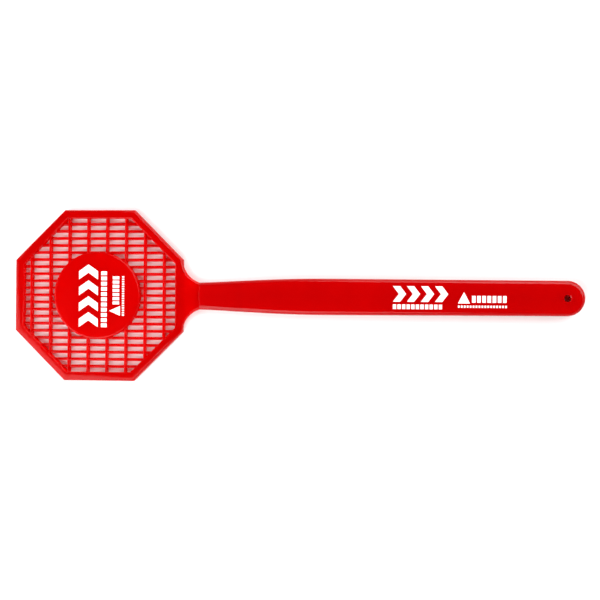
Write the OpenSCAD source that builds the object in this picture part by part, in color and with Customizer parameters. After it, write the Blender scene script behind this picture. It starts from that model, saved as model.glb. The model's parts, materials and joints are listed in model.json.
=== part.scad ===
// Fly swatter, moulded in two pieces: an octagonal paddle with a flexible neck, and a hollow
// handle. The paddle's tang snaps into a socket in the handle, and both pieces carry white print.
// It lies on its back: +X runs from the paddle to the end of the handle, +Z is the printed face.

/* [Paddle] */
// Width of the octagon across its flats
paddle_across = 121; // [110:1:135]
// Width of the solid rim round the paddle
rim_w = 6; // [5:0.5:7]
// Height of the rim
rim_h = 6.6; // [6.2:0.1:7.2]
// Diameter of the solid plate in the middle, which takes the print
plate_d = 62; // [56:1:64]
// Height of the plate's face
plate_h = 6; // [5.6:0.1:6.4]
// Wall of the plate and of the skirt round it
plate_wall = 2; // [1.6:0.1:2.4]

/* [Grid] */
// How far the plate and the ribs sit from the octagon's middle, towards the tip
grid_shift = 1.75; // [0:0.05:2]
// Spacing of the tall ribs, which run across the paddle
rib_pitch = 13.65; // [13:0.05:14.5]
// Width of a tall rib
rib_w = 2; // [1.4:0.1:2.6]
// Height of a tall rib
rib_h = 5.2; // [4:0.1:5.6]
// Spacing of the low bars, which run along the paddle
bar_pitch = 5.06; // [5:0.02:5.1]
// Width of a low bar
bar_w = 2.3; // [1.8:0.1:2.8]
// Height of a low bar
bar_h = 3.4; // [2:0.1:3.8]

/* [Neck] */
// Length of the neck, from the paddle's flat to the seam
neck_len = 11.5; // [10:0.5:12]
// Width of the neck at the seam
neck_w = 19; // [18:0.1:20]
// Radius of the hollow curve on each side of the neck
neck_curve_r = 16.6; // [16:0.2:18]
// Distance past the seam at which the hollow curves are centred
curve_past_seam = 4.5; // [3:0.1:6]
// Thickness of the neck, which bends in use
neck_t = 3; // [2.6:0.1:3.2]
// Length of the tang inside the handle
tang_len = 26; // [20:1:28]
// Width of the tang
tang_w = 12; // [10:0.5:12.5]
// Thickness of the tang
tang_t = 2.4; // [2:0.1:2.6]

/* [Handle] */
// Length of the handle, from the seam to its round end
handle_len = 267.5; // [240:0.5:280]
// Height of the handle at the seam
handle_neck_h = 8.2; // [8:0.1:9]
// Height of the handle along the grip
grip_h = 10.4; // [10:0.1:12]
// Widest part of the handle
belly_w = 25.4; // [24:0.1:27]
// Distance from the seam to the widest part
belly_at = 88; // [80:1:96]
// Width of the handle at its round end
end_w = 24.4; // [23:0.1:26]
// Thickness of the handle's walls
shell_wall = 2; // [1.6:0.1:2.2]
// Thickness of the ribs inside the handle
stiffener_w = 1.6; // [1.2:0.1:2]
// Number of cross ribs inside the handle
cross_ribs = 8; // [6:1:10]
// Diameter of the hole that the swatter hangs by
hang_hole_d = 4.8; // [4:0.1:6]

/* [Print] */
// Thickness of the white print
print_t = 0.1; // [0.08:0.01:0.15]
// Length of the row of chevrons on the plate
plate_row_len = 45.1; // [40:0.1:48]
// Height of the chevrons on the plate
plate_row_h = 13.7; // [10:0.1:15]
// Length of the row of small marks on the plate
plate_fine_len = 28.7; // [24:0.1:34]
// Distance from the seam to the print on the grip
grip_print_at = 136; // [120:1:150]
// Length of the row of chevrons on the grip
grip_row_len = 38.6; // [30:0.1:42]
// Height of the chevrons on the grip
grip_row_h = 10.8; // [8:0.1:12]
// Gap between the chevrons and the small marks on the grip
grip_gap = 6.1; // [4:0.1:10]
// Length of the row of small marks on the grip
grip_fine_len = 34.2; // [28:0.1:38]
// Height of the small marks
fine_h = 7.8; // [6:0.1:9]

/* [Hidden] */
$fn = 96;

plastic_red = "crimson";
ink_white = "white";
cut = 0.5;                                     // how far a cutter runs past a face
total_len = paddle_across + neck_len + handle_len;
paddle_x = paddle_across / 2 - total_len / 2;  // middle of the octagon
plate_x = paddle_x - grid_shift;
seam_x = paddle_x + paddle_across / 2 + neck_len;
end_x = total_len / 2;
hang_x = end_x - end_w / 2;                    // middle of the round end
grid_across = paddle_across - 2 * rim_w;

neck_half = neck_w / 2;
curve_x = seam_x + curve_past_seam;
curve_y = neck_half + sqrt(pow(neck_curve_r, 2) - pow(curve_past_seam, 2));
split_x = curve_x - neck_curve_r;              // where the curves leave the octagon
neck_z = rim_h - neck_t;

slack = 0.1;                                   // gap round the tang in its socket
socket_wall = 4;                               // solid plastic behind the socket
socket_end = seam_x + tang_len + socket_wall;
barb_len = 4;
barb_w = 6;
barb_drop = 1.2;                               // how far the barb reaches into its window
barb_from_tip = 9;
barb_x = seam_x + tang_len - barb_from_tip;
window_gap = 0.4;
boss_wall = 2.4;
boss_r = hang_hole_d / 2 + boss_wall;
rib_lift = 1;                                  // inner ribs stop this far above the back edge
swell_power = 1.2;                             // above 1 the handle starts to swell gently
swell_steps = 11;

// Middle of each row of print, measured across the row
plate_row_up = 7.6;
plate_fine_down = 11.3;
grip_row_up = 2.4;

// Rises from 0 at the seam to 1 at the widest part of the handle
function swell(u) = u < belly_at ? pow(sin(90 * u / belly_at), swell_power) : 1;

// Half the handle's width at a distance u from the seam
function half_w(u) = neck_half + (belly_w / 2 - neck_half) * swell(u);

// Height of the handle's face at a distance u from the seam
function face_h(u) = handle_neck_h + (grip_h - handle_neck_h) * swell(u);

// Distances at which the swelling part of the handle is drawn
stations = [for (i = [0 : swell_steps]) i * belly_at / swell_steps];

module octagon(across, h) {
    rotate(22.5) cylinder(h = h, r = across / 2 / cos(22.5), $fn = 8);
}

// The handle's outline, set in by a wall, as a block of height h
module handle_block(inset, h) {
    upper = [for (u = stations) [seam_x + u, half_w(u) - inset]];
    lower = [for (i = [len(stations) - 1 : -1 : 0]) [upper[i][0], -upper[i][1]]];
    linear_extrude(h)
        polygon(concat(upper, [[hang_x, end_w / 2 - inset], [hang_x, inset - end_w / 2]], lower));
    translate([hang_x, 0, 0]) cylinder(h = h, r = end_w / 2 - inset);
}

// Everything below the handle's face, lowered by a wall, seen from the side
module under_face(drop) {
    face = [for (u = stations) [seam_x + u, face_h(u) - drop]];
    rotate([90, 0, 0]) linear_extrude(2 * belly_w, center = true)
        polygon(concat([[seam_x, -cut]], face,
                       [[end_x + cut, grip_h - drop], [end_x + cut, -cut]]));
}

// Ribs and bars over the whole opening of the rim, round the octagon's middle
module grid() {
    ribs = floor(grid_across / 2 / rib_pitch - 0.5) + 0.5;
    bars = floor(grid_across / 2 / bar_pitch);
    intersection() {
        octagon(grid_across + cut, rim_h);
        union() {
            for (i = [-ribs : ribs])
                translate([i * rib_pitch - grid_shift - rib_w / 2, -grid_across, 0])
                    cube([rib_w, 2 * grid_across, rib_h]);
            for (i = [-bars : bars])
                translate([-grid_across, i * bar_pitch - bar_w / 2, 0])
                    cube([2 * grid_across, bar_w, bar_h]);
        }
    }
}

// The octagonal striking face, cut off square where the neck begins
module paddle() {
    color(plastic_red) difference() {
        union() {
            translate([paddle_x, 0, 0]) difference() {
                octagon(paddle_across, rim_h);
                translate([0, 0, -cut]) octagon(grid_across, rim_h + 2 * cut);
            }
            difference() {
                translate([paddle_x, 0, 0]) grid();
                translate([plate_x, 0, -cut])
                    cylinder(h = rim_h + 2 * cut, r = plate_d / 2 - plate_wall / 2);
            }
            translate([plate_x, 0, 0]) difference() {
                cylinder(h = plate_h, r = plate_d / 2);
                translate([0, 0, -cut])
                    cylinder(h = plate_h - plate_wall + cut, r = plate_d / 2 - plate_wall);
            }
        }
        translate([split_x, -paddle_across, -cut])
            cube([paddle_across, 2 * paddle_across, rim_h + 2 * cut]);
    }
}

// The web that bends in use, and the tang with its snap barb
module neck() {
    color(plastic_red) {
        difference() {
            translate([split_x, -curve_y, neck_z])
                cube([seam_x - split_x, 2 * curve_y, neck_t]);
            for (side = [-1, 1])
                translate([curve_x, side * curve_y, 0])
                    cylinder(h = rim_h + cut, r = neck_curve_r);
        }
        translate([seam_x, -tang_w / 2, neck_z]) cube([tang_len, tang_w, tang_t]);
        translate([barb_x, barb_w / 2, neck_z]) rotate([90, 0, 0]) linear_extrude(barb_w)
            polygon([[0, 0], [0, -barb_drop], [barb_len, 0]]);
    }
}

// Hollow handle, open at the back, with the socket for the tang and the hanging hole
module handle() {
    rib_from = socket_end - cut;
    rib_step = (hang_x - boss_r - socket_end) / (cross_ribs + 1);
    color(plastic_red) difference() {
        intersection() {
            handle_block(0, grip_h);
            union() {
                difference() {
                    under_face(0);
                    intersection() {
                        translate([0, 0, -cut]) handle_block(shell_wall, grip_h + cut);
                        under_face(shell_wall);
                        translate([socket_end, -belly_w, -cut])
                            cube([handle_len, 2 * belly_w, grip_h + cut]);
                    }
                }
                intersection() {
                    under_face(shell_wall / 2);
                    union() {
                        translate([rib_from, -stiffener_w / 2, rib_lift])
                            cube([hang_x - rib_from, stiffener_w, grip_h]);
                        for (i = [1 : cross_ribs])
                            translate([socket_end + i * rib_step, -belly_w / 2, rib_lift])
                                cube([stiffener_w, belly_w, grip_h]);
                        translate([hang_x, 0, 0]) cylinder(h = grip_h, r = boss_r);
                    }
                }
            }
        }
        translate([seam_x - cut, -tang_w / 2 - slack, neck_z - slack])
            cube([tang_len + cut + slack, tang_w + 2 * slack, tang_t + 2 * slack]);
        translate([barb_x - window_gap, -barb_w / 2 - window_gap, -cut])
            cube([barb_len + 2 * window_gap, barb_w + 2 * window_gap, neck_z + cut]);
        translate([hang_x, 0, -cut]) cylinder(h = grip_h + 2 * cut, r = hang_hole_d / 2);
    }
}

// One chevron of the print, pointing along +X
module chevron(long, tall) {
    stroke = long * 0.55;
    linear_extrude(print_t) polygon([
        [0, -tall / 2], [stroke, -tall / 2], [long, 0],
        [stroke, tall / 2], [0, tall / 2], [long - stroke, 0]]);
}

// A row of marks over a length, with the middle of the row at y = 0
module dashes(count, long, tall, fill) {
    step = long / count;
    for (i = [0 : count - 1])
        translate([i * step, -tall / 2, 0]) cube([step * fill, tall, print_t]);
}

// Four bold chevrons over a row of dashes
module main_mark(long, tall) {
    step = long / 4;
    dash_y = -tall * 0.82;
    dash_h = tall * 0.3;
    for (i = [0 : 3]) translate([i * step, 0, 0]) chevron(step * 0.94, tall);
    translate([0, dash_y, 0]) dashes(11, long * 0.9, dash_h, 0.72);
}

// A triangle, a row of blocks and a thin row of dots
module small_mark(long, tall) {
    triangle_w = long * 0.24;
    blocks_x = long * 0.28;
    dot_y = -tall * 0.78;
    linear_extrude(print_t)
        polygon([[0, -tall / 2], [triangle_w, -tall / 2], [triangle_w / 2, tall / 2]]);
    translate([blocks_x, -tall * 0.12, 0]) dashes(7, long - blocks_x, tall * 0.6, 0.7);
    translate([0, dot_y, 0]) dashes(17, long, tall * 0.2, 0.6);
}

// White print on the plate, reading across the paddle
module paddle_print() {
    color(ink_white) translate([paddle_x, 0, plate_h]) rotate(90) {
        translate([-plate_row_len / 2, plate_row_up, 0]) main_mark(plate_row_len, plate_row_h);
        translate([-plate_fine_len / 2, -plate_fine_down, 0]) small_mark(plate_fine_len, fine_h);
    }
}

// White print along the grip
module handle_print() {
    color(ink_white) translate([seam_x + grip_print_at, 0, grip_h]) {
        translate([0, grip_row_up, 0]) main_mark(grip_row_len, grip_row_h);
        translate([grip_row_len + grip_gap, 0, 0]) small_mark(grip_fine_len, fine_h);
    }
}

paddle();
neck();
handle();
paddle_print();
handle_print();
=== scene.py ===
# Looks for the moulded fly swatter: the paddle moulding, the handle moulding and the white print.
# Lengths are in metres, with +X from the paddle to the end of the handle and +Z out of the face.
import json
import math

import bmesh
import bpy
from mathutils import Euler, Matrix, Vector


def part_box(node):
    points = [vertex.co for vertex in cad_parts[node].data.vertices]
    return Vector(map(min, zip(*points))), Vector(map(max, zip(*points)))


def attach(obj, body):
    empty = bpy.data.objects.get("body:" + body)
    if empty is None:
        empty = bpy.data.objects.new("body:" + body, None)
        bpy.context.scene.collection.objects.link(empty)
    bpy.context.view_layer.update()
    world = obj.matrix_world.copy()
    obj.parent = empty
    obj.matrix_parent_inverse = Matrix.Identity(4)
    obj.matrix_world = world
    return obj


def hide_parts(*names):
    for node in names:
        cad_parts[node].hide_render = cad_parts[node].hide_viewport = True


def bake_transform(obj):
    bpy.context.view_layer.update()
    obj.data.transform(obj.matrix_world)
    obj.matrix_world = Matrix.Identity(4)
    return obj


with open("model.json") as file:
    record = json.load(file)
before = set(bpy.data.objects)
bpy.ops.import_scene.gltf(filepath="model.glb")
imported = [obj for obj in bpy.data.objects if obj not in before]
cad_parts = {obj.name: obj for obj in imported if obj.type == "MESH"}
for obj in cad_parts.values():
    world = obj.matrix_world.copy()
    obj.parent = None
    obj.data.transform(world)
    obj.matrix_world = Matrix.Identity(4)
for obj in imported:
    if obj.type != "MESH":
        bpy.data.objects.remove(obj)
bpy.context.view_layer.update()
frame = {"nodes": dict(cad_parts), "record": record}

# ---------------------------------------------------------------------------
# Rim and neck of the paddle. One moulding in soft polyethylene: an octagonal rim that runs out,
# between two hollow curves, into a thin neck. Its tang is pushed into the handle's socket.
# ---------------------------------------------------------------------------
MM = 0.001
paddle_low, paddle_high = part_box("paddle")
neck_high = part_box("neck")[1]
handle_low, handle_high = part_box("handle")

paddle_half = paddle_high.y
paddle_x = paddle_low.x + paddle_half
seam_x = handle_low.x
rim_w = 6 * MM
rim_h = paddle_high.z
rim_round = 2 * MM
rim_inner = paddle_half - rim_w
rim_inner_round = 0.8 * MM

neck_t = 3 * MM
neck_half = 9.5 * MM
neck_z = rim_h - neck_t
neck_side_x = paddle_x + paddle_half / 2
curve_r = 16.6 * MM
curve_x = paddle_high.x + curve_r
curve_y = neck_half + math.sqrt(curve_r**2 - (curve_x - seam_x) ** 2)
curve_steps = 12

tang_w = 12 * MM
tang_t = 2.4 * MM
tang_step = 0.1 * MM
tang_len = neck_high.x - seam_x

# tolerances for selecting faces by their normals and edges by their places
along_axis = 0.9
exactly_flat = 0.9999
leans_up = 0.7
leans_out = 0.3
near = 1 * MM
hair = 0.01 * MM
weld = 0.001 * MM
smooth_angle = math.radians(32)


def start_piece(name):
    """Name the new primitive, put its place into its mesh and open it for modelling."""
    piece = bpy.context.object
    piece.name = piece.data.name = name
    bpy.ops.object.transform_apply(location=True, rotation=True, scale=True)
    bpy.ops.object.mode_set(mode="EDIT")
    return piece


def finish_piece():
    """Close a piece after modelling, with its faces outwards and its curves shaded smooth."""
    bpy.ops.mesh.select_all(action="SELECT")
    bpy.ops.mesh.remove_doubles(threshold=weld)
    bpy.ops.mesh.normals_make_consistent(inside=False)
    bpy.ops.object.mode_set(mode="OBJECT")
    bpy.ops.object.shade_smooth_by_angle(angle=smooth_angle)


def pick(kind, test):
    """Select only those faces or edges of the open piece that pass a test."""
    bpy.ops.mesh.select_mode(type=kind)
    bpy.ops.mesh.select_all(action="DESELECT")
    mesh = bmesh.from_edit_mesh(bpy.context.edit_object.data)
    mesh.normal_update()
    for part in mesh.faces if kind == "FACE" else mesh.edges:
        part.select_set(bool(test(part)))
    bmesh.update_edit_mesh(bpy.context.edit_object.data)


def middle(edge):
    """The point half way along an edge."""
    return (edge.verts[0].co + edge.verts[1].co) / 2


def faces_up(face):
    return face.normal.z > leans_up


def is_wall(face):
    return abs(face.normal.z) < leans_out


def is_top_edge(edge):
    """An edge where a top face meets a wall."""
    sides = edge.link_faces
    return len(sides) == 2 and any(map(faces_up, sides)) and any(map(is_wall, sides))


def ends_beyond(x):
    """A test for faces that look along X and lie beyond an x."""
    return lambda face: face.normal.x > along_axis and face.calc_center_median().x > x


def merge_faces(side, from_x):
    """Make one face of all the flat faces above (1) or below (-1) that lie beyond an x."""
    pick("FACE", lambda face: face.normal.z * side > exactly_flat
         and face.calc_center_median().x > from_x)
    bpy.ops.mesh.dissolve_faces()


def off_axis(point):
    """How far a point is from the paddle's middle, measured square to the octagon's flats."""
    x, y = abs(point.x - paddle_x), abs(point.y)
    return max(x, y, (x + y) / math.sqrt(2))


bpy.ops.object.select_all(action="DESELECT")
bpy.ops.mesh.primitive_cylinder_add(
    vertices=8, radius=paddle_half / math.cos(math.pi / 8), depth=rim_h,
    location=(paddle_x, 0, rim_h / 2), rotation=(0, 0, math.pi / 8))
paddle = start_piece("paddle_moulding")

# the opening for the grid
pick("FACE", lambda face: abs(face.normal.z) > along_axis)
bpy.ops.mesh.inset(thickness=rim_w)
bpy.ops.mesh.bridge_edge_loops()

# the corners at the neck are cut off where the hollow curves begin
merge_faces(1, neck_side_x)
merge_faces(-1, neck_side_x)
bpy.ops.mesh.select_all(action="SELECT")
bpy.ops.mesh.bisect(plane_co=(paddle_high.x, 0, 0), plane_no=(1, 0, 0),
                    clear_outer=True, use_fill=True)

# the neck, drawn out of the square face in steps that follow the hollow curves
pick("FACE", ends_beyond(paddle_x + rim_inner))
open_faces = bmesh.from_edit_mesh(paddle.data).faces
root_half = max(corner.co.y for face in open_faces if face.select for corner in face.verts)
bpy.ops.transform.resize(value=(1, curve_y / root_half, 1), center_override=(0, 0, rim_h))
sweep = math.pi / 2 - math.asin((curve_x - seam_x) / curve_r)
x, half = paddle_high.x, curve_y
for step in range(1, curve_steps + 1):
    turn = sweep * step / curve_steps
    new_x = curve_x - curve_r * math.cos(turn)
    new_half = curve_y - curve_r * math.sin(turn)
    bpy.ops.mesh.extrude_region_move(TRANSFORM_OT_translate={"value": (new_x - x, 0, 0)})
    thinner = neck_t / rim_h if step == 1 else 1
    bpy.ops.transform.resize(value=(1, new_half / half, thinner), center_override=(0, 0, rim_h))
    x, half = new_x, new_half
merge_faces(1, neck_side_x)

# the tang, a little clear of the neck's underside
pick("FACE", ends_beyond(seam_x - near))
bpy.ops.mesh.extrude_region_move(TRANSFORM_OT_translate={"value": (0, 0, 0)})
bpy.ops.transform.resize(value=(1, tang_w / 2 / half, (tang_t - tang_step) / neck_t),
                         center_override=(0, 0, neck_z))
bpy.ops.transform.translate(value=(0, 0, tang_step))
bpy.ops.mesh.extrude_region_move(TRANSFORM_OT_translate={"value": (tang_len, 0, 0)})

# the outer edge is well rounded, the inner one only broken
pick("EDGE", lambda edge: is_top_edge(edge) and off_axis(middle(edge)) > rim_inner + near
     and middle(edge).x < seam_x - hair)
bpy.ops.mesh.bevel(offset=rim_round, segments=4, affect="EDGES")
pick("EDGE", lambda edge: is_top_edge(edge) and off_axis(middle(edge)) < rim_inner + near)
bpy.ops.mesh.bevel(offset=rim_inner_round, segments=3, affect="EDGES")
pick("FACE", lambda face: len(face.verts) > 4)
bpy.ops.mesh.quads_convert_to_tris(quad_method="BEAUTY", ngon_method="BEAUTY")
finish_piece()

# ---------------------------------------------------------------------------
# Grid of the paddle. Tall ribs across it and low bars along it, drafted so that they leave the
# mould, with their top edges rounded. The ribs and bars run into the rim and the plate's skirt.
# ---------------------------------------------------------------------------
rib_count = 8
rib_pitch = 13.65 * MM
rib_w = 2 * MM
rib_h = 5.2 * MM
rib_foot = 0.1 * MM
rib_top = 0.6
bar_count = 21
bar_pitch = 5.06 * MM
bar_w = 2.3 * MM
bar_h = 3.4 * MM
bar_foot = 0.2 * MM
bar_top = 0.7
bar_round = 0.35 * MM
rim_middle = paddle_half - rim_w / 2
grid_shift = -1.75 * MM
plate_x = paddle_x + grid_shift
plate_r = 31 * MM
plate_wall = 2 * MM
plate_facets = 96


def open_block(name, low, high):
    """A block between two corners, open for modelling."""
    low, high = Vector(low), Vector(high)
    bpy.ops.object.select_all(action="DESELECT")
    bpy.ops.mesh.primitive_cube_add(size=1, location=(low + high) / 2, scale=high - low)
    return start_piece(name)


def open_rod(name, radius, x, low_z, high_z, facets):
    """An upright round rod at an x, open for modelling."""
    bpy.ops.object.select_all(action="DESELECT")
    bpy.ops.mesh.primitive_cylinder_add(vertices=facets, radius=radius, depth=high_z - low_z,
                                        location=(x, 0, (low_z + high_z) / 2))
    return start_piece(name)


def reach(offset):
    """Half the length of a rib or bar at an offset from the middle, ending inside the rim."""
    return min(rim_middle, rim_middle * math.sqrt(2) - abs(offset))


def drafted_bar(name, width, height, foot, top_share):
    """One bar along X, a metre long, narrower at the top and with its top edges rounded."""
    bar = open_block(name, (-0.5, -width / 2, foot), (0.5, width / 2, height))
    pick("FACE", faces_up)
    bpy.ops.transform.resize(value=(1, top_share, 1), center_override=(0, 0, 0))
    pick("EDGE", lambda edge: middle(edge).z > height - hair and abs(middle(edge).y) > hair)
    bpy.ops.mesh.bevel(offset=bar_round, segments=2, affect="EDGES")
    finish_piece()
    return bar


def join(pieces):
    """Join pieces into the first one and put its place into its mesh."""
    bpy.ops.object.select_all(action="DESELECT")
    for piece in pieces:
        piece.select_set(True)
    bpy.context.view_layer.objects.active = pieces[0]
    bpy.ops.object.transform_apply(location=True, rotation=True, scale=True)
    bpy.ops.object.join()
    return pieces[0]


def lay_row(pattern, count, pitch, turned):
    """Copies of a bar side by side over the paddle, as one mesh of separate solids."""
    row = []
    for index in range(count):
        offset = (index - (count - 1) / 2) * pitch + (grid_shift if turned else 0)
        bar = pattern.copy()
        bar.data = pattern.data.copy()
        bpy.context.collection.objects.link(bar)
        bar.scale.x = 2 * reach(offset)
        bar.rotation_euler.z = math.pi / 2 if turned else 0
        bar.location = (paddle_x + offset, 0, 0) if turned else (paddle_x, offset, 0)
        row.append(bar)
    bpy.data.objects.remove(pattern)
    return join(row)


def combine(piece, tool, operation):
    """Add a tool to a piece, cut it away or keep only what is in both. The tool is used up."""
    bpy.ops.object.select_all(action="DESELECT")
    bpy.context.view_layer.objects.active = piece
    piece.select_set(True)
    change = piece.modifiers.new(operation.lower(), "BOOLEAN")
    change.operation = operation
    change.solver = "EXACT"
    change.object = tool
    bpy.ops.object.modifier_apply(modifier=change.name)
    bpy.data.objects.remove(tool)


rib = drafted_bar("rib", rib_w, rib_h, rib_foot, rib_top)
bar = drafted_bar("bar", bar_w, bar_h, bar_foot, bar_top)
grid = lay_row(rib, rib_count, rib_pitch, turned=True)
combine(grid, lay_row(bar, bar_count, bar_pitch, turned=False), "UNION")

# the grid stops inside the plate's skirt
opening = open_rod("plate_opening", plate_r - plate_wall / 2, plate_x, -2 * rim_h, 2 * rim_h,
                   plate_facets)
finish_piece()
combine(grid, opening, "DIFFERENCE")

# ---------------------------------------------------------------------------
# Plate in the middle of the grid. A shallow dish turned upside down, moulded with the grid: a
# smooth face for the print, a rounded shoulder and a skirt that the ribs and bars run into.
# ---------------------------------------------------------------------------
plate_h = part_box("paddle_print")[0].z
plate_lift = 0.05 * MM
plate_round = 1.3 * MM

plate = open_rod("plate", plate_r, plate_x, plate_lift, plate_h, plate_facets)
pick("FACE", lambda face: face.normal.z < -along_axis)
bpy.ops.mesh.inset(thickness=plate_wall)
bpy.ops.mesh.extrude_region_move(
    TRANSFORM_OT_translate={"value": (0, 0, plate_h - plate_wall)})
pick("EDGE", is_top_edge)
bpy.ops.mesh.bevel(offset=plate_round, segments=4, affect="EDGES")
finish_piece()
combine(plate, grid, "UNION")
combine(paddle, plate, "UNION")

# ---------------------------------------------------------------------------
# Scar and barb, the two small features of the same moulding. The scar is where it was broken off
# its runner, low on the rounded edge. The barb under the tang snaps into the handle's window.
# ---------------------------------------------------------------------------
scar_len = 8.5 * MM
scar_w = 2.9 * MM
scar_h = 2.4 * MM
scar_x = paddle_x + 16.6 * MM
scar_y = paddle_half - 1.5 * MM
scar_z = rim_h / 2 + 0.7 * MM
scar_round = 0.4 * MM
barb_len = 4 * MM
barb_w = 6 * MM
barb_drop = 1.2 * MM
barb_x = neck_high.x - 9 * MM

scar = open_block(
    "gate_scar", (scar_x - scar_len / 2, scar_y - scar_w / 2, scar_z - scar_h / 2),
    (scar_x + scar_len / 2, scar_y + scar_w / 2, scar_z + scar_h / 2))
bpy.ops.mesh.bevel(offset=scar_round, segments=2, affect="EDGES")
finish_piece()
combine(paddle, scar, "UNION")

# the barb is steep towards the seam and slopes up towards the tip
barb = open_block("barb", (barb_x, -barb_w / 2, neck_z - barb_drop),
                  (barb_x + barb_len, barb_w / 2, neck_z + barb_drop))
pick("EDGE", lambda edge: middle(edge).z < neck_z - barb_drop + hair
     and middle(edge).x > barb_x + barb_len - hair)
bpy.ops.transform.translate(value=(0, 0, barb_drop))
finish_piece()
combine(paddle, barb, "UNION")


def smooth(piece):
    """Shade a finished piece smooth round its curves, with its flats kept flat."""
    bpy.ops.object.select_all(action="DESELECT")
    piece.select_set(True)
    bpy.context.view_layer.objects.active = piece
    bpy.ops.object.shade_smooth_by_angle(angle=smooth_angle)
    flats = piece.modifiers.new("flats", "WEIGHTED_NORMAL")
    flats.keep_sharp = True
    flats.weight = 100
    bpy.ops.object.modifier_apply(modifier=flats.name)


smooth(paddle)

# ---------------------------------------------------------------------------
# Red plastic of the paddle. Soft polyethylene, pigmented right through and thin enough to let
# light through, with faint clouds in the pigment, patches of duller skin and a very fine grain.
# ---------------------------------------------------------------------------
cloud_size = 30 * MM
flow_size = 6 * MM
patch_size = 14 * MM
speck_size = 0.5 * MM
grain_size = 0.35 * MM
grain_depth = 0.012 * MM
light_through = (1, 0.004, 0.006, 1)


class Wire:
    """A shader socket that can be used in sums and products."""

    def __init__(self, shader, socket):
        self.shader, self.socket = shader, socket

    def sum(self, operation, first, second):
        return self.shader.node("Math", {"operation": operation}, {0: first, 1: second})

    def __add__(self, other):
        return self.sum("ADD", self, other)

    def __radd__(self, other):
        return self.sum("ADD", other, self)

    def __mul__(self, other):
        return self.sum("MULTIPLY", self, other)

    def __rmul__(self, other):
        return self.sum("MULTIPLY", other, self)


class Shader:
    """A tree of nodes, with the one node whose sockets everything leads to."""

    def __init__(self, tree, surface):
        self.tree, self.surface = tree, tree.nodes[surface]

    def node(self, kind, settings, sockets, output=0):
        """Add a node, set it up, fill its sockets with values or wires, and return a wire."""
        new = self.tree.nodes.new("ShaderNode" + kind)
        for name, value in settings.items():
            setattr(new, name, value)
        for name, value in sockets.items():
            if isinstance(value, Wire):
                self.tree.links.new(value.socket, new.inputs[name])
            else:
                new.inputs[name].default_value = value
        return Wire(self, new.outputs[output])

    def connect(self, **wires):
        """Lead wires to the surface's sockets, named with _ for each space."""
        for name, wire in wires.items():
            self.tree.links.new(wire.socket, self.surface.inputs[name.replace("_", " ")])


class Finish(Shader):
    """A material made of nodes that follow the piece's own coordinates."""

    def __init__(self, name, **constants):
        self.material = bpy.data.materials.new(name)
        self.material.use_nodes = True
        super().__init__(self.material.node_tree, "Principled BSDF")
        for socket, value in constants.items():
            self.surface.inputs[socket.replace("_", " ")].default_value = value
        self.place = self.node("TexCoord", {}, {}, "Object")

    def noise(self, size, detail=3.0, roughness=0.5):
        """Soft noise from 0 to 1 whose features are about a size in metres."""
        return self.node("TexNoise", {}, {"Vector": self.place, "Scale": 1 / size,
                                          "Detail": detail, "Roughness": roughness}, "Fac")

    def steps(self, value, low, high):
        """A mask that rises from 0 to 1 as a value goes from low to high."""
        return self.node("MapRange", {"interpolation_type": "SMOOTHSTEP"},
                         {"Value": value, "From Min": low, "From Max": high}, "Result")

    def mix(self, mask, first, second):
        """A colour between two colours."""
        return self.node("Mix", {"data_type": "RGBA"}, {0: mask, 6: first, 7: second}, 2)

    def bump(self, height, depth):
        """Bump from a height of 0 to 1 that stands for a depth in metres."""
        return self.node("Bump", {}, {"Height": height, "Distance": depth, "Strength": 1.0},
                         "Normal")

    def let_through(self, share, colour):
        """Let a share of the light that meets the surface through, in a colour."""
        behind = self.node("BsdfTranslucent", {}, {"Color": colour}, "BSDF")
        both = self.node("MixShader", {}, {0: share, 1: Wire(self, self.surface.outputs[0]),
                                           2: behind}, "Shader")
        self.tree.links.new(both.socket, self.tree.nodes["Material Output"].inputs["Surface"])


def red_plastic(name, deep, bright, dull, shiny, through):
    """Pigmented plastic between two reds, with a skin between two roughnesses."""
    finish = Finish(name, IOR=1.45)
    clouds = finish.noise(cloud_size, detail=4.0)
    flow = finish.noise(flow_size, detail=5.0, roughness=0.6)
    specks = finish.noise(speck_size, detail=2.0)
    tone = finish.steps(0.65 * clouds + 0.35 * flow, 0.3, 0.7)
    patches = finish.steps(finish.noise(patch_size, detail=6.0, roughness=0.65), 0.35, 0.7)
    grain = finish.noise(grain_size, detail=3.0)
    finish.connect(Base_Color=finish.mix(tone, deep, bright),
                   Roughness=shiny + (dull - shiny) * (0.7 * patches + 0.3 * specks),
                   Normal=finish.bump(0.6 * grain + 0.4 * flow, grain_depth))
    finish.let_through(through, light_through)
    return finish.material


def dress(piece, material):
    """Give a piece its material."""
    piece.data.materials.clear()
    piece.data.materials.append(material)


paddle_red = red_plastic("paddle_red", deep=(0.57, 0.0003, 0.0006, 1),
                         bright=(0.61, 0.0003, 0.0006, 1), dull=0.14, shiny=0.07, through=0.6)
dress(paddle, paddle_red)
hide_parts("paddle", "neck")
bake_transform(paddle)

# ---------------------------------------------------------------------------
# Handle. A stiff moulding, hollow and open at the back: it swells from the seam to the grip and
# ends in a half round. The front edge is rounded to suit the hand.
# ---------------------------------------------------------------------------
handle_len = handle_high.x - seam_x
handle_neck_h = 8.2 * MM
grip_h = handle_high.z
belly_half = handle_high.y
belly_at = 88 * MM
end_half = 12.2 * MM
hang_x = handle_high.x - end_half
shell_wall = 2 * MM
front_round = 3 * MM
seam_round = 0.25 * MM
socket_wall = 4 * MM
socket_end = tang_len + socket_wall
swell_power = 1.2
swell_steps = 16
end_steps = 14
point = 1e-9
past = 1 * MM


def swell(u):
    """Rises from 0 at the seam to 1 at the widest part of the handle."""
    return math.sin(math.pi / 2 * min(u / belly_at, 1)) ** swell_power


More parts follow.
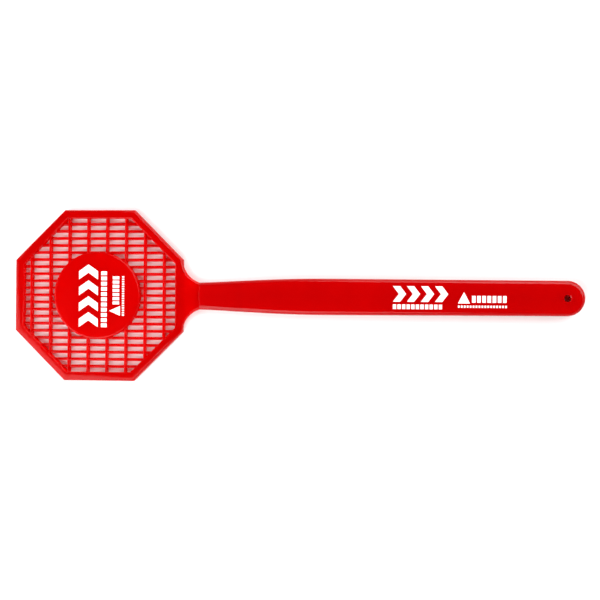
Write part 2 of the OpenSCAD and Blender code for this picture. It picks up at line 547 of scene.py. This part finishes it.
def half_width(u):
    """Half the handle's width at a distance from the seam."""
    if u < belly_at:
        return neck_half + (belly_half - neck_half) * swell(u)
    share = (u - belly_at) / (handle_len - end_half - belly_at)
    return belly_half + (end_half - belly_half) * share


def face_height(u):
    """Height of the handle's face at a distance from the seam."""
    return handle_neck_h + (grip_h - handle_neck_h) * swell(u)


def open_handle(name, inset, drop, start, floor):
    """The handle's shape, set in and lowered, from a start past the seam, open for modelling."""
    stations = []
    for step in range(swell_steps + 1):
        u = start + (belly_at - start) * step / swell_steps
        stations.append((seam_x + u, half_width(u) - inset, face_height(u) - drop))
    radius = end_half - inset
    for step in range(end_steps + 1):
        turn = math.pi / 2 * step / end_steps
        stations.append((hang_x + radius * math.sin(turn), radius * math.cos(turn), grip_h - drop))
    x, half, top = stations[0]
    bpy.ops.object.select_all(action="DESELECT")
    bpy.ops.mesh.primitive_plane_add(size=1, location=(x, 0, (top + floor) / 2),
                                     rotation=(0, math.pi / 2, 0))
    solid = start_piece(name)
    bpy.ops.mesh.select_all(action="SELECT")
    bpy.ops.transform.resize(value=(1, 2 * half, top - floor),
                             center_override=(x, 0, (top + floor) / 2))
    for new_x, new_half, new_top in stations[1:]:
        bpy.ops.mesh.extrude_region_move(TRANSFORM_OT_translate={"value": (new_x - x, 0, 0)})
        scale = (1, new_half / half, (new_top - floor) / (top - floor))
        bpy.ops.transform.resize(value=scale, center_override=(new_x, 0, floor))
        x, half, top = new_x, max(new_half, point), new_top
    bpy.ops.mesh.select_all(action="SELECT")
    bpy.ops.mesh.remove_doubles(threshold=weld)
    bpy.ops.mesh.normals_make_consistent(inside=False)
    merge_faces(1, seam_x + belly_at)
    merge_faces(-1, seam_x)
    return solid


handle = open_handle("handle_moulding", 0, 0, 0, 0)
pick("EDGE", lambda edge: is_top_edge(edge) and middle(edge).x > seam_x + hair)
bpy.ops.mesh.bevel(offset=front_round, segments=6, affect="EDGES")
pick("EDGE", lambda edge: is_top_edge(edge) and middle(edge).x < seam_x + hair)
bpy.ops.mesh.bevel(offset=seam_round, segments=2, affect="EDGES")
finish_piece()

# the hollow at the back begins behind the socket
cavity = open_handle("cavity", shell_wall, shell_wall, socket_end, -past)
finish_piece()
combine(handle, cavity, "DIFFERENCE")

# ---------------------------------------------------------------------------
# Inside of the handle. One rib along it and eight across, thinner than the walls so that they
# don't show on the face, a tube round the hanging hole, and the socket with its window.
# ---------------------------------------------------------------------------
stiffener_w = 1.6 * MM
cross_ribs = 8
rib_lift = 1 * MM
hole_r = frame["record"]["mounts"][0]["dims"]["r_mm"] * MM
hole_facets = 64
boss_wall = 2.4 * MM
boss_r = hole_r + boss_wall
sink = 1 * MM
sink_lift = 0.1 * MM
slack = 0.1 * MM
window_gap = 0.4 * MM
window_half = barb_w / 2 + window_gap


def block(name, low, high):
    """A plain block between two corners, to be added to a piece or cut out of it."""
    piece = open_block(name, low, high)
    finish_piece()
    return piece


def rod(name, radius, low_z, high_z):
    """A round rod on the hanging hole's axis."""
    piece = open_rod(name, radius, hang_x, low_z, high_z, hole_facets)
    finish_piece()
    return piece


rib_from = seam_x + socket_end
rib_step = (hang_x - boss_r - rib_from) / (cross_ribs + 1)
stiffeners = block("long_rib", (rib_from - past, -stiffener_w / 2, rib_lift),
                   (hang_x, stiffener_w / 2, grip_h))
for index in range(1, cross_ribs + 1):
    rib_x = rib_from + index * rib_step
    combine(stiffeners, block("cross_rib", (rib_x, -belly_half, rib_lift),
                              (rib_x + stiffener_w, belly_half, grip_h)), "UNION")
within = open_handle("within", shell_wall / 2, shell_wall / 2, socket_end - 2 * past, 0)
finish_piece()
combine(stiffeners, within, "INTERSECT")
combine(handle, stiffeners, "UNION")

# the hanging hole in its tube, with the edge of the face sunk a little
combine(handle, rod("boss", boss_r, 0, grip_h - shell_wall / 2), "UNION")
combine(handle, rod("hole", hole_r, -past, grip_h + past), "DIFFERENCE")
bpy.ops.object.select_all(action="DESELECT")
bpy.ops.mesh.primitive_cone_add(vertices=hole_facets, radius1=hole_r, radius2=hole_r + sink,
                                depth=sink, location=(hang_x, 0, grip_h + sink_lift))
countersink = start_piece("countersink")
finish_piece()
combine(handle, countersink, "DIFFERENCE")

# the socket for the tang, and the window that the barb catches in
combine(handle, block("socket", (seam_x - past, -tang_w / 2 - slack, neck_z - slack),
                      (neck_high.x + slack, tang_w / 2 + slack, neck_z + tang_t + slack)),
        "DIFFERENCE")
combine(handle, block("window", (barb_x - window_gap, -window_half, -past),
                      (barb_x + barb_len + window_gap, window_half, neck_z)), "DIFFERENCE")
smooth(handle)

handle_red = red_plastic("handle_red", deep=(0.51, 0.0003, 0.0010, 1),
                         bright=(0.55, 0.0003, 0.0010, 1), dull=0.14, shiny=0.07, through=0.4)
dress(handle, handle_red)
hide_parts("handle")
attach(handle, "handle")

# ---------------------------------------------------------------------------
# White print. A film of opaque ink, pad-printed on the plate and on the grip. The pattern is
# plain chevrons, blocks and dashes.
# ---------------------------------------------------------------------------
ink_cloud_size = 2 * MM
ink_grain_size = 0.3 * MM
ink_grain_depth = 0.005 * MM

ink = Finish("white_ink", IOR=1.45)
ink_clouds = ink.steps(ink.noise(ink_cloud_size, detail=4.0), 0.35, 0.65)
ink.connect(Base_Color=ink.mix(ink_clouds, (0.88, 0.87, 0.87, 1), (0.94, 0.94, 0.94, 1)),
            Roughness=0.5 + 0.15 * ink_clouds,
            Normal=ink.bump(ink.noise(ink_grain_size), ink_grain_depth))
for print_name in ("paddle_print", "handle_print"):
    film = frame["nodes"][print_name]
    film.data.materials.clear()
    film.data.materials.append(ink.material)

# ---------------------------------------------------------------------------
# Studio. A white table, a soft box beyond the paddle's near corner, another beyond the far side
# of the handle, a pale horizon with nothing overhead, and a camera almost straight above.
# ---------------------------------------------------------------------------
bpy.ops.object.select_all(action="DESELECT")
bpy.ops.mesh.primitive_plane_add(size=6, location=(0, 0, 0))
table = bpy.context.object
table.name = "table"
white = Finish("white_table", Base_Color=(0.95, 0.95, 0.95, 1), Roughness=0.9,
               Specular_IOR_Level=0.0)
table.data.materials.append(white.material)


def soft_box(name, place, turn, width, height, radiance):
    """A rectangular light that shines down, turned by three angles in degrees."""
    lamp = bpy.data.lights.new(name, "AREA")
    lamp.shape = "RECTANGLE"
    lamp.size, lamp.size_y = width, height
    lamp.energy = radiance * math.pi * width * height
    box = bpy.data.objects.new(name, lamp)
    box.location = place
    box.rotation_euler = [math.radians(angle) for angle in turn]
    bpy.context.collection.objects.link(box)


soft_box("near_box", place=(-0.736, -0.526, 0.527), turn=(35, 0, -36.8),
         width=1.6, height=1.3, radiance=3.35)
soft_box("far_box", place=(0.7, 0.8, 0.9), turn=(-45, 0, -41),
         width=1.8, height=1.0, radiance=4.8)

world = bpy.data.worlds.new("studio")
bpy.context.scene.world = world
world.use_nodes = True
room = Shader(world.node_tree, "Background")
up = room.node("SeparateXYZ", {}, {0: room.node("TexCoord", {}, {}, "Generated")}, "Z")
room.connect(Strength=room.node("MapRange", {}, {"Value": up, "From Min": 0.4, "From Max": 0.8,
                                                 "To Min": 0.5, "To Max": 0.0}, "Result"))
room.surface.inputs["Color"].default_value = (1, 1, 1, 1)

camera_tilt = math.radians(4.92)
camera_roll = math.radians(0.405)
camera_distance = 0.9
camera_target = Vector((3.1, -2.3, 0)) * MM
lens_in_widths = 2.13
lens = bpy.data.cameras.new("camera")
lens.sensor_width = 36
lens.lens = lens.sensor_width * lens_in_widths
camera = bpy.data.objects.new("camera", lens)
camera.rotation_mode = "ZXY"
camera.rotation_euler = Euler((0, camera_tilt, camera_roll), "ZXY")
camera.location = camera_target + camera_distance * Vector(
    (math.sin(camera_tilt), 0, math.cos(camera_tilt)))
bpy.context.collection.objects.link(camera)
bpy.context.scene.camera = camera
bpy.context.scene.view_settings.view_transform = "Standard"
